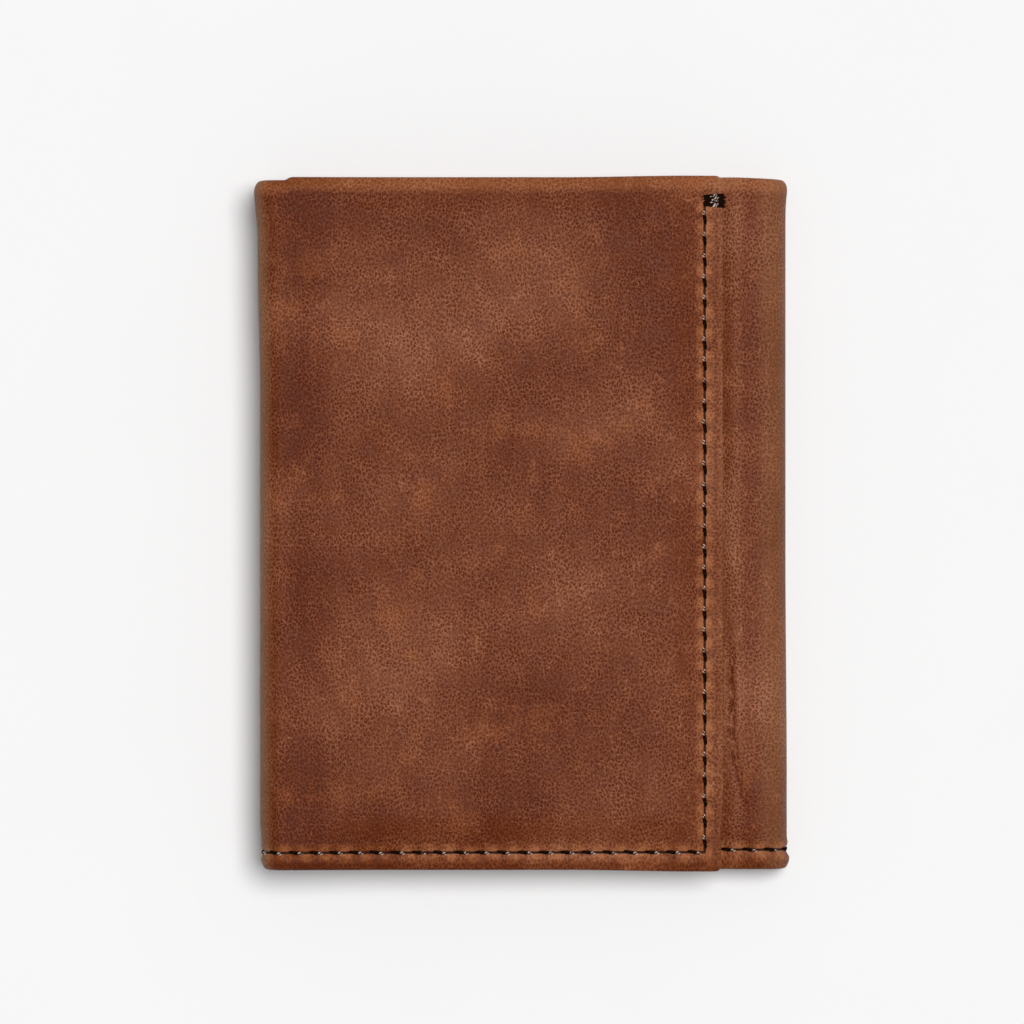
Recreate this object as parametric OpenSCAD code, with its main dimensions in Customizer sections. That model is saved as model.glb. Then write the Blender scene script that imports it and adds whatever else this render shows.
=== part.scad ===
// Trifold wallet, folded shut and lying on its back panel.
// X runs across the panels, Y along the folds towards the bill mouth, Z up from the table.
// Each panel is a stack of flat sheets. The cover leather, the lining and the bill wall turn
// two square corners at each fold, so a fold is a narrow upright spine between two bends.

/* [Folded wallet] */
// Width of the folded wallet, across the panels
folded_w = 83; // [82:1:92]
// Height of the wallet, along the folds
wallet_h = 108; // [106:1:114]
// Thickness of the folded, empty wallet
folded_t = 15.5; // [15.5:0.5:18]

/* [Flaps] */
// Strip beside the right fold that the outer flap leaves uncovered
fold_show = 10.5; // [9:0.5:14]
// Distance from the left fold to the free edge of the inner flap
inner_gap = 16.5; // [16.5:0.5:18]
// Radius of the flaps' free corners
corner_r = 1.2; // [0.5:0.1:2]

/* [Leather and lining] */
// Thickness of the cover leather
cover_t = 1.1; // [1:0.1:1.2]
// Thickness of the cover's skived, turned-in margin
hem_t = 0.7; // [0.5:0.1:0.7]
// Width of the turned-in margin
hem_w = 8; // [6:0.5:9]
// Thickness of the lining cloth
lining_t = 0.25; // [0.2:0.05:0.3]
// Thickness of the bill wall, the sheet between the bills and the pockets
wall_t = 0.6; // [0.5:0.1:0.6]
// Thickness of a pocket sheet
pocket_t = 0.4; // [0.3:0.1:0.4]
// Thickness of the front card pocket and of the window frame
front_t = 0.6; // [0.5:0.1:0.6]
// Thickness of the clear window film
film_t = 0.2; // [0.1:0.1:0.2]

/* [Pockets] */
// Height of the front card pocket's edge above the middle of the wallet
front_edge_y = 24; // [20:1:24]
// Step from one card pocket's edge to the next
pocket_step = 9; // [7:1:9]
// Width of the identity card window
window_w = 46; // [42:1:46]
// Height of the identity card window
window_h = 74; // [68:1:76]

/* [Sewing] */
// Length of one stitch, hole to hole
stitch_pitch = 3.3; // [3:0.1:4]
// Thickness of the sewing thread
thread_d = 0.55; // [0.4:0.05:0.6]
// Distance of a seam from the edge
seam_in = 2.4; // [2:0.1:2.6]

/* [Hidden] */
$fn = 48;
bend_r = 3.5;                        // outside radius of the leather at a bend
clear = 0.15;                        // gap between a spine and the bends beside it
sheet_gap = 0.1;                     // air between neighbouring pocket sheets
face_gap = 0.5;                      // air between the back panel and the inner flap
side = folded_w / 2;
top = wallet_h / 2;
flat_x = side - bend_r;              // the flat part of a panel ends here, beside a fold
flap_x = side - fold_show;           // free edge of the outer flap
inner_x = inner_gap - side;          // free edge of the inner flap

// Depths of the sheets in a panel, counted from the outside face of its cover leather
wall_z = cover_t + hem_t;            // the bill wall lies on the turned-in margin
slip_z = wall_z + wall_t + sheet_gap;
rear_z = slip_z + pocket_t + sheet_gap;
middle_z = rear_z + pocket_t + sheet_gap;
front_z = middle_z + pocket_t + sheet_gap;
frame_z = rear_z + film_t;
panel_t = front_z + front_t;         // thickness of a card panel
inner_t = frame_z + front_t;         // thickness of the inner flap
inner_top = panel_t + face_gap + inner_t;

// Edges of the sheets
wall_in = 0.8;                       // the bill wall stops this far inside the cover's edge
mouth_in = 3;                        // and this far below the cover's top edge
edge_in = 0.2;                       // the turned-in margin stops this far inside the edge
hem_cut = 0.1;                       // and is cut through at each corner
block_x = side - 6.5;                // the pocket sheets stop here beside a fold
wall_y0 = -top + wall_in;
wall_y1 = top - mouth_in;
slip_y1 = wall_y1 - 1;
rear_y0 = wall_y0 + 17;              // bottoms of the rear and the middle card bags
middle_y0 = wall_y0 + 9;
window_y = -5;                       // middle of the identity card window
film_in = 3;                         // the film reaches this far behind the frame
frame_y1 = 44;                       // top edge of the window frame
thumb_r = 8;                         // radius of the frame's thumb notch

// Seams
seam_y = -top + seam_in;             // bottom seam
fold_seam_x = block_x - seam_in;     // seam that holds the pockets beside a fold
flap_seam_x = flap_x - seam_in;      // end seam of the outer flap
inner_seam_x = inner_x + seam_in;    // end seam of the inner flap
groove_w = thread_d + 0.4;           // the stitches lie in a pressed groove
groove_d = 0.35;
stitch_gap = 0.7;                    // leather between one stitch and the next
stitch_slant = 7;                    // each stitch leans by this angle
tack_w = 2.8;                        // bar tack at the top of each end seam
tack_h = 1.9;
tack_y = top - 4.8;                  // lower edge of the bar tack
window_x = (inner_seam_x + fold_seam_x) / 2;

// ---- Colours of the materials ----
module leather() { color("#73422e") children(); }
module thin_leather() { color("#693b29") children(); }
module cloth() { color("#4a372b") children(); }
module thread() { color("#2e211b") children(); }
module clear_film() { color([0.9, 0.9, 0.92, 0.35]) children(); }

// ---- Shapes that repeat ----

// A flat sheet between two corners, at depth z
module sheet(x0, x1, y0, y1, z, t) {
    translate([x0, y0, z])
        cube([x1 - x0, y1 - y0, t]);
}

// A cover sheet from a fold at fold_end to a free edge at free_end, with round free corners
module flap_sheet(fold_end, free_end) {
    inward = sign(fold_end - free_end);
    round_x = free_end + inward * corner_r;
    linear_extrude(height = cover_t)
        union() {
            translate([min(fold_end, round_x), -top])
                square([abs(fold_end - round_x), 2 * top]);
            translate([min(fold_end, free_end), -top + corner_r])
                square([abs(fold_end - free_end), 2 * (top - corner_r)]);
            for (s = [-1, 1])
                translate([round_x, s * (top - corner_r)]) circle(r = corner_r);
        }
}

// The flaps lie upside down: the outside face of their cover is at level z
module face_down(z) {
    translate([0, 0, z])
        mirror([0, 0, 1])
            children();
}

// A quarter turn of a sheet at the lower left corner, at a depth inside the cover's outside face
module bend(depth, t, y0, y1) {
    outer = bend_r - depth;
    translate([-side + bend_r, y1, bend_r])
        rotate([90, 0, 0])
            linear_extrude(height = y1 - y0)
                intersection() {
                    difference() {
                        circle(r = outer);
                        circle(r = outer - t);
                    }
                    translate([-outer - 1, -outer - 1]) square(outer + 1);
                }
}

// The upright part of a sheet in a left spine that reaches up to level h
module spine_strip(h, depth, t, y0, y1) {
    translate([-side + depth, y0, bend_r + clear])
        cube([t, y1 - y0, h - 2 * (bend_r + clear)]);
}

// Stitches in a row from point a to point b, resting on level z
module stitch_row(a, b, z) {
    run = norm(b - a);
    heading = atan2(b[1] - a[1], b[0] - a[0]);
    count = max(1, round(run / stitch_pitch));
    pitch = run / count;
    straight = pitch - stitch_gap - thread_d;
    translate([a[0], a[1], z])
        rotate([0, 0, heading])
            for (i = [0:count - 1])
                translate([(i + 0.5) * pitch, 0, 0])
                    rotate([0, 0, stitch_slant])
                        linear_extrude(height = groove_d)
                            union() {
                                square([straight, thread_d], center = true);
                                for (s = [-1, 1])
                                    translate([s * straight / 2, 0]) circle(d = thread_d);
                            }
}

// A pressed groove under a straight seam, cut down from level z
module groove(a, b, z) {
    run = norm(b - a);
    heading = atan2(b[1] - a[1], b[0] - a[0]);
    translate([a[0], a[1], z - groove_d])
        rotate([0, 0, heading])
            translate([-groove_w / 2, -groove_w / 2, 0])
                cube([run + groove_w, groove_w, 2 * groove_d]);
}

// A seam down at x0, along the bottom and up at x1, and the groove that it lies in
module pocket_seam(x0, x1, y1, z) {
    stitch_row([x0, y1], [x0, seam_y], z - groove_d);
    stitch_row([x0, seam_y], [x1, seam_y], z - groove_d);
    stitch_row([x1, seam_y], [x1, y1], z - groove_d);
}
module pocket_groove(x0, x1, y1, z) {
    for (x = [x0, x1])
        groove([x, seam_y], [x, y1 + 1], z);
    groove([x0, seam_y], [x1, seam_y], z);
}

// A bar tack from x0 towards +X, flush with level z, and the hollow that it fills
module tack(x0, z) {
    translate([x0, tack_y, z - groove_d])
        cube([tack_w, tack_h, groove_d]);
}
module tack_hollow(x0, z) {
    translate([x0, tack_y, z - groove_d])
        cube([tack_w, tack_h, 2 * groove_d]);
}

// ---- Sheets of a panel, from a fold at fold_end to a free edge at free_end ----

// The turned-in margin: a strip along the top, one along the bottom and one down the free edge
module hem_rows(x0, x1) {
    sheet(x0, x1, -top + edge_in, -top + hem_w, cover_t, hem_t);
    sheet(x0, x1, top - hem_w, top - edge_in, cover_t, hem_t);
}
module flap_hem(fold_end, free_end) {
    inward = sign(fold_end - free_end);
    edge = free_end + inward * edge_in;
    inner_edge = edge + inward * hem_w;
    hem_rows(min(fold_end, edge), max(fold_end, edge));
    sheet(min(edge, inner_edge), max(edge, inner_edge),
          -top + hem_w + hem_cut, top - hem_w - hem_cut, cover_t, hem_t);
}
module flap_lining(fold_end, free_end) {
    edge = free_end + sign(fold_end - free_end) * (hem_w + edge_in);
    sheet(min(fold_end, edge), max(fold_end, edge), -top + hem_w, top - hem_w, cover_t, lining_t);
}
module flap_wall(fold_end, free_end) {
    edge = free_end + sign(fold_end - free_end) * wall_in;
    sheet(min(fold_end, edge), max(fold_end, edge), wall_y0, wall_y1, wall_z, wall_t);
}

// The bends of the cover, of the lining and of the bill wall, at the lower left corner
module cover_bend() leather() bend(0, cover_t, -top, top);
module lining_bend() cloth() bend(cover_t, lining_t, -top + hem_w, top - hem_w);
module bill_wall_bend() thin_leather() bend(wall_z, wall_t, wall_y0, wall_y1);

// The sheets of a left spine that reaches up to level h
module cover_spine(h) leather() difference() {
    spine_strip(h, 0, cover_t, -top, top);
    translate([-side - groove_d, seam_y - groove_w / 2, 0])
        cube([2 * groove_d, groove_w, h]);
}
module hem_spine(h) leather() {
    spine_strip(h, cover_t, hem_t, -top + edge_in, -top + hem_w);
    spine_strip(h, cover_t, hem_t, top - hem_w, top - edge_in);
}
module lining_spine(h) cloth() spine_strip(h, cover_t, lining_t, -top + hem_w, top - hem_w);
module bill_wall_spine(h) thin_leather() spine_strip(h, wall_z, wall_t, wall_y0, wall_y1);
module stitching_spine(h) thread()
    translate([-side, seam_y, 0])
        rotate([0, -90, 0])
            mirror([0, 0, 1])
                stitch_row([bend_r + clear, 0], [h - bend_r - clear, 0], 0);

// ---- Back panel ----
module cover_back() leather() difference() {
    sheet(-flat_x, flat_x, -top, top, 0, cover_t);
    groove([-flat_x - 1, seam_y], [flat_x + 1, seam_y], 0);
}
module cover_bend_left_lower() cover_bend();
module cover_bend_right_lower() mirror([1, 0, 0]) cover_bend();
module hem_back() leather() hem_rows(-flat_x, flat_x);
module lining_back() cloth() sheet(-flat_x, flat_x, -top + hem_w, top - hem_w, cover_t, lining_t);
module lining_bend_left_lower() lining_bend();
module lining_bend_right_lower() mirror([1, 0, 0]) lining_bend();
module bill_wall_back() thin_leather() sheet(-flat_x, flat_x, wall_y0, wall_y1, wall_z, wall_t);
module bill_wall_bend_left_lower() bill_wall_bend();
module bill_wall_bend_right_lower() mirror([1, 0, 0]) bill_wall_bend();
module slip_pocket_back() thin_leather()
    sheet(-block_x, block_x, wall_y0, slip_y1, slip_z, pocket_t);
module card_pocket_back_rear() thin_leather()
    sheet(-block_x, block_x, rear_y0, front_edge_y + 2 * pocket_step, rear_z, pocket_t);
module card_pocket_back_middle() thin_leather()
    sheet(-block_x, block_x, middle_y0, front_edge_y + pocket_step, middle_z, pocket_t);
module card_pocket_back_front() thin_leather() difference() {
    sheet(-block_x, block_x, wall_y0, front_edge_y, front_z, front_t);
    pocket_groove(-fold_seam_x, fold_seam_x, front_edge_y, panel_t);
}
module stitching_back() thread() {
    stitch_row([-flat_x, seam_y], [flat_x, seam_y], 0);
    pocket_seam(-fold_seam_x, fold_seam_x, front_edge_y, panel_t);
}

// ---- Left spine ----
module cover_left_spine() cover_spine(folded_t);
module hem_left_spine() hem_spine(folded_t);
module lining_left_spine() lining_spine(folded_t);
module bill_wall_left_spine() bill_wall_spine(folded_t);
module stitching_left_spine() stitching_spine(folded_t);

// ---- Outer flap ----
module cover_outer_flap() leather() difference() {
    face_down(folded_t) flap_sheet(-flat_x, flap_x);
    groove([-flat_x - 1, seam_y], [flap_seam_x, seam_y], folded_t);
    groove([flap_seam_x, seam_y], [flap_seam_x, tack_y], folded_t);
    tack_hollow(flap_x - tack_w, folded_t);
}
module cover_bend_left_upper() face_down(folded_t) cover_bend();
module hem_outer_flap() leather() face_down(folded_t) flap_hem(-flat_x, flap_x);
module lining_outer_flap() cloth() face_down(folded_t) flap_lining(-flat_x, flap_x);
module lining_bend_left_upper() face_down(folded_t) lining_bend();
module bill_wall_outer_flap() thin_leather() face_down(folded_t) flap_wall(-flat_x, flap_x);
module bill_wall_bend_left_upper() face_down(folded_t) bill_wall_bend();
module slip_pocket_outer_flap() thin_leather() face_down(folded_t)
    sheet(-block_x, flap_x - wall_in, wall_y0, slip_y1, slip_z, pocket_t);
module card_pocket_outer_flap_rear() thin_leather() face_down(folded_t)
    sheet(-block_x, flap_x - wall_in, rear_y0, front_edge_y + 2 * pocket_step, rear_z, pocket_t);
module card_pocket_outer_flap_middle() thin_leather() face_down(folded_t)
    sheet(-block_x, flap_x - wall_in, middle_y0, front_edge_y + pocket_step, middle_z, pocket_t);
module card_pocket_outer_flap_front() thin_leather() face_down(folded_t) difference() {
    sheet(-block_x, flap_x - wall_in, wall_y0, front_edge_y, front_z, front_t);
    pocket_groove(-fold_seam_x, flap_seam_x, front_edge_y, panel_t);
}
module stitching_outer_flap() thread() {
    stitch_row([flap_seam_x, tack_y], [flap_seam_x, seam_y], folded_t - groove_d);
    stitch_row([flap_seam_x, seam_y], [-flat_x, seam_y], folded_t - groove_d);
    face_down(folded_t) pocket_seam(-fold_seam_x, flap_seam_x, front_edge_y, panel_t);
}
module bar_tack_outer_flap() thread() tack(flap_x - tack_w, folded_t);

// ---- Right spine ----
module cover_right_spine() mirror([1, 0, 0]) cover_spine(inner_top);
module hem_right_spine() mirror([1, 0, 0]) hem_spine(inner_top);
module lining_right_spine() mirror([1, 0, 0]) lining_spine(inner_top);
module bill_wall_right_spine() mirror([1, 0, 0]) bill_wall_spine(inner_top);
module stitching_right_spine() mirror([1, 0, 0]) stitching_spine(inner_top);

// ---- Inner flap ----
module cover_inner_flap() leather() difference() {
    face_down(inner_top) flap_sheet(flat_x, inner_x);
    groove([inner_seam_x, seam_y], [flat_x + 1, seam_y], inner_top);
    groove([inner_seam_x, seam_y], [inner_seam_x, tack_y], inner_top);
    tack_hollow(inner_x, inner_top);
}
module cover_bend_right_upper() face_down(inner_top) mirror([1, 0, 0]) cover_bend();
module hem_inner_flap() leather() face_down(inner_top) flap_hem(flat_x, inner_x);
module lining_inner_flap() cloth() face_down(inner_top) flap_lining(flat_x, inner_x);
module lining_bend_right_upper() face_down(inner_top) mirror([1, 0, 0]) lining_bend();
module bill_wall_inner_flap() thin_leather() face_down(inner_top) flap_wall(flat_x, inner_x);
module bill_wall_bend_right_upper() face_down(inner_top) mirror([1, 0, 0]) bill_wall_bend();
module window_backing() thin_leather() face_down(inner_top)
    sheet(inner_x + wall_in, block_x, wall_y0, frame_y1, slip_z, pocket_t);
module window_film() clear_film() face_down(inner_top)
    sheet(window_x - window_w / 2 - film_in, window_x + window_w / 2 + film_in,
          window_y - window_h / 2 - film_in, window_y + window_h / 2 + film_in, rear_z, film_t);
module window_frame() thin_leather() face_down(inner_top) difference() {
    sheet(inner_x + wall_in, block_x, wall_y0, frame_y1, frame_z, front_t);
    translate([window_x - window_w / 2, window_y - window_h / 2, frame_z - 1])
        cube([window_w, window_h, front_t + 2]);
    translate([window_x, frame_y1 + thumb_r / 2, frame_z - 1])
        cylinder(r = thumb_r, h = front_t + 2);
    pocket_groove(inner_seam_x, fold_seam_x, frame_y1, inner_t);
}
module stitching_inner_flap() thread() {
    stitch_row([inner_seam_x, tack_y], [inner_seam_x, seam_y], inner_top - groove_d);
    stitch_row([inner_seam_x, seam_y], [flat_x, seam_y], inner_top - groove_d);
    face_down(inner_top) pocket_seam(inner_seam_x, fold_seam_x, frame_y1, inner_t);
}
module bar_tack_inner_flap() thread() tack(inner_x, inner_top);

cover_back();
cover_bend_left_lower();
cover_bend_right_lower();
hem_back();
lining_back();
lining_bend_left_lower();
lining_bend_right_lower();
bill_wall_back();
bill_wall_bend_left_lower();
bill_wall_bend_right_lower();
slip_pocket_back();
card_pocket_back_rear();
card_pocket_back_middle();
card_pocket_back_front();
stitching_back();
cover_left_spine();
hem_left_spine();
lining_left_spine();
bill_wall_left_spine();
stitching_left_spine();
cover_outer_flap();
cover_bend_left_upper();
hem_outer_flap();
lining_outer_flap();
lining_bend_left_upper();
bill_wall_outer_flap();
bill_wall_bend_left_upper();
slip_pocket_outer_flap();
card_pocket_outer_flap_rear();
card_pocket_outer_flap_middle();
card_pocket_outer_flap_front();
stitching_outer_flap();
bar_tack_outer_flap();
cover_right_spine();
hem_right_spine();
lining_right_spine();
bill_wall_right_spine();
stitching_right_spine();
cover_inner_flap();
cover_bend_right_upper();
hem_inner_flap();
lining_inner_flap();
lining_bend_right_upper();
bill_wall_inner_flap();
bill_wall_bend_right_upper();
window_backing();
window_film();
window_frame();
stitching_inner_flap();
bar_tack_inner_flap();
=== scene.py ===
# %% [markdown]
# # A folded leather wallet
# The object is a trifold wallet that lies shut. One long strip of leather makes its whole
# outside: an outer flap, a narrow spine, the back, a narrower spine and a flap that is
# tucked in. A maker cuts and sews that strip flat and folds it at the end. This lesson
# does the same: every soft part is made flat, and one function folds it into place.
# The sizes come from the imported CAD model, which is loaded first and never changed.

import math
import random

import bmesh
import bpy
import numpy as np
from mathutils import Matrix, Vector


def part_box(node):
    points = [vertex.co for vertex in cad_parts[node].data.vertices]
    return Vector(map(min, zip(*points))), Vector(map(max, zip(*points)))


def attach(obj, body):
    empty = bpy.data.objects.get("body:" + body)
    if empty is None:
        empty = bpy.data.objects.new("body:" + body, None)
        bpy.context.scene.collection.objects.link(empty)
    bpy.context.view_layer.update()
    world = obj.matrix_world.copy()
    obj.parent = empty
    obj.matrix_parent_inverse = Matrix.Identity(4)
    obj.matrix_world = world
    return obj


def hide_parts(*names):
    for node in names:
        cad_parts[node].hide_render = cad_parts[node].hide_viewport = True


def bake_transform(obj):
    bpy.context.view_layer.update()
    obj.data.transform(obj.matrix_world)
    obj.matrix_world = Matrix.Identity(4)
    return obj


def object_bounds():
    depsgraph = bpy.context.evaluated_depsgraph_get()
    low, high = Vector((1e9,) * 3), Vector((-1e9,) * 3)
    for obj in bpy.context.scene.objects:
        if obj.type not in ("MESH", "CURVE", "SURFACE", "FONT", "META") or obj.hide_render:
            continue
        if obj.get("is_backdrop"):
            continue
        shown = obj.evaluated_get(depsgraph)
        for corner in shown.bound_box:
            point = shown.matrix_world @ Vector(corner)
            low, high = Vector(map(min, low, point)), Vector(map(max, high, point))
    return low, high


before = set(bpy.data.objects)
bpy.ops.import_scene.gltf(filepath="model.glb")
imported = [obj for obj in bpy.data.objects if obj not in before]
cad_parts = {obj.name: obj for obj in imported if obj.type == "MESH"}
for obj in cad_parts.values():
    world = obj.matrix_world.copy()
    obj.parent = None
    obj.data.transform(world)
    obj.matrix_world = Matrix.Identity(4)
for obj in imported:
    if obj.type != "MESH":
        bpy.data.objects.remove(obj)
cad_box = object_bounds()
MM = 0.001

# %% [markdown]
# ## Sizes
# The cover's path round the folds follows from a few CAD boxes: how far the flat panels
# reach, how high the two flaps lie, and how far the spines stand out. The difference
# between a spine and its flat panel is the radius of a fold. Two distances are the maker's
# choice: how wide a margin is turned in, and how far from the edge its seam runs.

# %% Read the sizes
flap_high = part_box("cover_outer_flap")[1]
tuck_low, tuck_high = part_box("cover_inner_flap")
back_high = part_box("cover_back")[1]
FLAT_X = back_high.x
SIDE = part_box("cover_right_spine")[1].x
BEND_R = SIDE - FLAT_X
TOP_Z = flap_high.z
TUCK_Z = tuck_high.z
FLAP_X = flap_high.x
TUCK_X = tuck_low.x
HALF_H = back_high.y
COVER_T = back_high.z
HEM_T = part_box("hem_back")[1].z - COVER_T
HEM_IN = 8 * MM
PANEL_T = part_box("card_pocket_back_front")[1].z
FRAME_T = TUCK_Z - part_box("window_frame")[0].z
SEAM_Y = sum(p.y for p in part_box("stitching_left_spine")) / 2
SEAM_IN = 2.52 * MM
QUARTER = math.pi / 2 * BEND_R
print(f"fold radius {BEND_R / MM:.2f} mm, panel {PANEL_T / MM:.2f} mm, seam at y {SEAM_Y / MM:.2f} mm")

# %% [markdown]
# ## The fold path
# A place on the flat leather has three numbers: s, the distance from the outer flap's free
# edge along the outside face, v, the height, and depth, how far under the outside face.
# Walking along s, the path goes straight over a panel and turns a quarter circle at each
# fold. A deeper sheet takes the inside of the bend, so its radius is smaller.

# %% Walk along the folds
LEGS = [
    (FLAP_X + FLAT_X, False), (QUARTER, True), (TOP_Z - 2 * BEND_R, False), (QUARTER, True),
    (2 * FLAT_X, False), (QUARTER, True), (TUCK_Z - 2 * BEND_R, False), (QUARTER, True),
    (FLAT_X - TUCK_X, False),
]
STOPS = np.concatenate([[0.0], np.cumsum([length for length, turns in LEGS])])
S_FLAP, S_LEFT, S_LEFT_END, S_BACK, S_BACK_END, S_RIGHT, S_RIGHT_END, S_TUCK, S_END = STOPS[1:]
CUT_LEFT = (S_LEFT + S_LEFT_END) / 2
CUT_BACK = (S_BACK + S_BACK_END) / 2
CUT_RIGHT = (S_RIGHT + S_RIGHT_END) / 2


def along_fold(s, depth):
    """The x and z of the places s along the folded cover, depth under its outside face."""
    x, z = np.zeros_like(s), np.zeros_like(s)
    px, pz, heading = FLAP_X, TOP_Z, math.pi
    for (length, turns), start in zip(LEGS, STOPS):
        on = s >= start - 1e-9
        if start == 0:
            on = s < 1e9
        t, d = s[on] - start, depth[on]
        if turns:
            cx, cz = px - BEND_R * math.sin(heading), pz + BEND_R * math.cos(heading)
            angle = heading + t / BEND_R
            x[on] = cx + (BEND_R - d) * np.sin(angle)
            z[on] = cz - (BEND_R - d) * np.cos(angle)
            heading += math.pi / 2
            px, pz = cx + BEND_R * math.sin(heading), cz - BEND_R * math.cos(heading)
        else:
            x[on] = px + t * math.cos(heading) - d * math.sin(heading)
            z[on] = pz + t * math.sin(heading) + d * math.cos(heading)
            px += length * math.cos(heading)
            pz += length * math.sin(heading)
    return x, z


print(f"the cover is {S_END / MM:.1f} mm long before it is folded")

# %% [markdown]
# ## How the wallet has settled
# A used wallet isn't a stack of flat plates. The sewn edges are pinched thin, the outer
# flap sags onto the flap under it, the leather stands proud beside a fold, and the skin
# has soft waves. All of that is one change of depth, shared by every layer, so layers
# never cut through each other. A smooth step is the tool for each part of it.


# %% Settle the stack
SAG, PROUD, WAVE = 1.2 * MM, 1.35 * MM, 0.05 * MM
PINCH_IN, PINCH = 9 * MM, 0.42
CREASE_S, CREASE_LEAN = S_TUCK + 5.2 * MM, 1.7 * MM
PROUD_STOPS = (2.42 * MM, 2.48 * MM)


def smooth(x, start, stop):
    """0 before start and 1 after stop, with a soft rise between them."""
    t = np.clip((x - start) / (stop - start), 0.0, 1.0)
    return t * t * (3.0 - 2.0 * t)


def hump(x, centre, width):
    """A soft bump of height 1."""
    return np.exp(-(((x - centre) / width) ** 2))


def pinched(s, v, depth):
    """Depth once the sewn edges are squeezed towards the inside of each flap."""
    free = 1 - smooth(np.minimum(s, S_END - s), 0, PINCH_IN)
    low = 1 - smooth(v + HALF_H, 0, PINCH_IN)
    high = 0.55 * (1 - smooth(HALF_H - v, 0, 7 * MM))
    press = 1 - (1 - free) * (1 - low) * (1 - high)
    outer, tucked = 1 - smooth(s, S_FLAP - 16 * MM, S_FLAP), smooth(s, S_TUCK, S_TUCK + 16 * MM)
    inside = np.where(s < CUT_BACK, PANEL_T, FRAME_T)
    return depth + (inside - depth) * PINCH * press * (outer + tucked)


def lift(s, v, depth):
    """How far the layers stand out of their flat plane."""
    sag = -SAG * (1 - smooth(s, 3 * MM, 34 * MM))
    proud = PROUD * smooth(s, S_TUCK + 9 * MM, S_TUCK + 4.5 * MM)
    proud = proud * smooth(s, S_TUCK - 5 * MM, S_TUCK + 1 * MM)
    proud = proud * (1 - 0.55 * smooth(v, -HALF_H + 7 * MM, -HALF_H))
    proud = proud * (1 - 0.4 * smooth(v, HALF_H - 7 * MM, HALF_H))
    proud = proud * (1 - smooth(depth, *PROUD_STOPS))
    crease_at = CREASE_S - CREASE_LEAN * smooth(v, -33 * MM, -44 * MM) + 0.2 * MM * np.sin(v / (2.3 * MM))
    reach = smooth(v, -48 * MM, -42 * MM) * smooth(v, -14 * MM, -26 * MM)
    dent = 0.3 * hump(s, crease_at, 0.6 * MM)
    crease = reach * (0.14 * hump(s, crease_at - 1.3 * MM, 0.9 * MM) - dent) * MM
    waves = np.sin(s / (7.3 * MM) + v / (11.9 * MM)) + np.sin(s / (12.1 * MM) - v / (8.3 * MM) + 1.7)
    waves = WAVE * (waves + np.sin(s / (3.9 * MM) + 0.8 * np.sin(v / (6.1 * MM))))
    on_panel = smooth(s, S_FLAP, S_FLAP - 5 * MM) + smooth(s, S_TUCK, S_TUCK + 5 * MM)
    return sag + proud + crease + waves * on_panel


def fold(s, v, depth):
    """The folded and settled place of points of the flat leather, with the slack of its outline."""
    x, z = along_fold(s, pinched(s, v, depth) - lift(s, v, depth))
    near_top, near_low = smooth(v, HALF_H - 12 * MM, HALF_H), smooth(v, 12 * MM - HALF_H, -HALF_H)
    left = smooth(s, S_FLAP - 2.4 * MM, S_FLAP - 1.3 * MM) * smooth(s, S_BACK + 10 * MM, S_BACK)
    right = smooth(s, S_TUCK + 6 * MM, S_TUCK - 3 * MM) * smooth(s, S_BACK_END - 10 * MM, S_BACK_END)
    strip = smooth(s, S_TUCK + 16 * MM, S_TUCK + 10 * MM) * smooth(s, S_BACK_END - 10 * MM, S_BACK_END)
    corner = smooth(s, 26 * MM, 4 * MM)
    y = v - MM * near_top * (0.5 * left + 0.3 * right - 0.2 * strip - 0.3 * corner)
    y = y + 0.3 * MM * near_low * strip
    below = smooth(v, SEAM_Y - 0.3 * MM, -HALF_H)
    y = y - MM * below * (0.34 + 0.3 * corner + 0.4 * strip)
    slack_left = 0.4 * smooth(y, 42 * MM, 20 * MM) + 0.3 * smooth(y, -46 * MM, -52 * MM)
    slack_left = slack_left - 0.6 * smooth(y, 44 * MM, 53 * MM)
    slack_right = 0.12 - 0.2 * smooth(y, -5 * MM, -40 * MM) - 0.4 * hump(y, HALF_H, 3 * MM)
    slack_right = slack_right - 0.3 * smooth(y, -51.9 * MM, -52.9 * MM)
    x = x + MM * slack_left * smooth(x, -22 * MM, -39 * MM) - MM * slack_right * smooth(x, 26 * MM, 39 * MM)
    x = x + 0.42 * MM * smooth(s, 2.3 * MM, 0) * smooth(v, 53.5 * MM, 49 * MM) * smooth(v, -54 * MM, -40 * MM)
    return np.stack([x, y, z], axis=-1)


corner = fold(np.array([0.0]), np.array([-HALF_H]), np.array([0.0]))[0] / MM
print("the outer flap's lower corner, in mm:", corner.round(2))

# %% [markdown]
# ## Seams
# The cover has one row of stitches along its whole lower edge and one down each free edge.
# A lockstitch presses the leather down along its row, and the leather swells a little
# between the row and the edge. Both faces of the model use the same list of rows, so the
# threads always lie in their own furrow.

# %% Lay out the seams
TACK_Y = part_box("bar_tack_outer_flap")[0].y
PITCH = 3.3 * MM
PRESSED, SWOLLEN, BEAT = 0.22 * MM, 0.16 * MM, 0.12 * MM
COVER_ROWS = {
    "flap_edge": ((SEAM_IN, TACK_Y), (SEAM_IN, SEAM_Y)),
    "tuck_edge": ((S_END - SEAM_IN, TACK_Y), (S_END - SEAM_IN, SEAM_Y)),
    "lower_edge": ((SEAM_IN, SEAM_Y), (S_END - SEAM_IN, SEAM_Y)),
}


def stitches_in(row):
    """How many stitches a row holds, and its length."""
    (s0, v0), (s1, v1) = row
    run = math.hypot(s1 - s0, v1 - v0)
    return max(1, round(run / PITCH)), run


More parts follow.
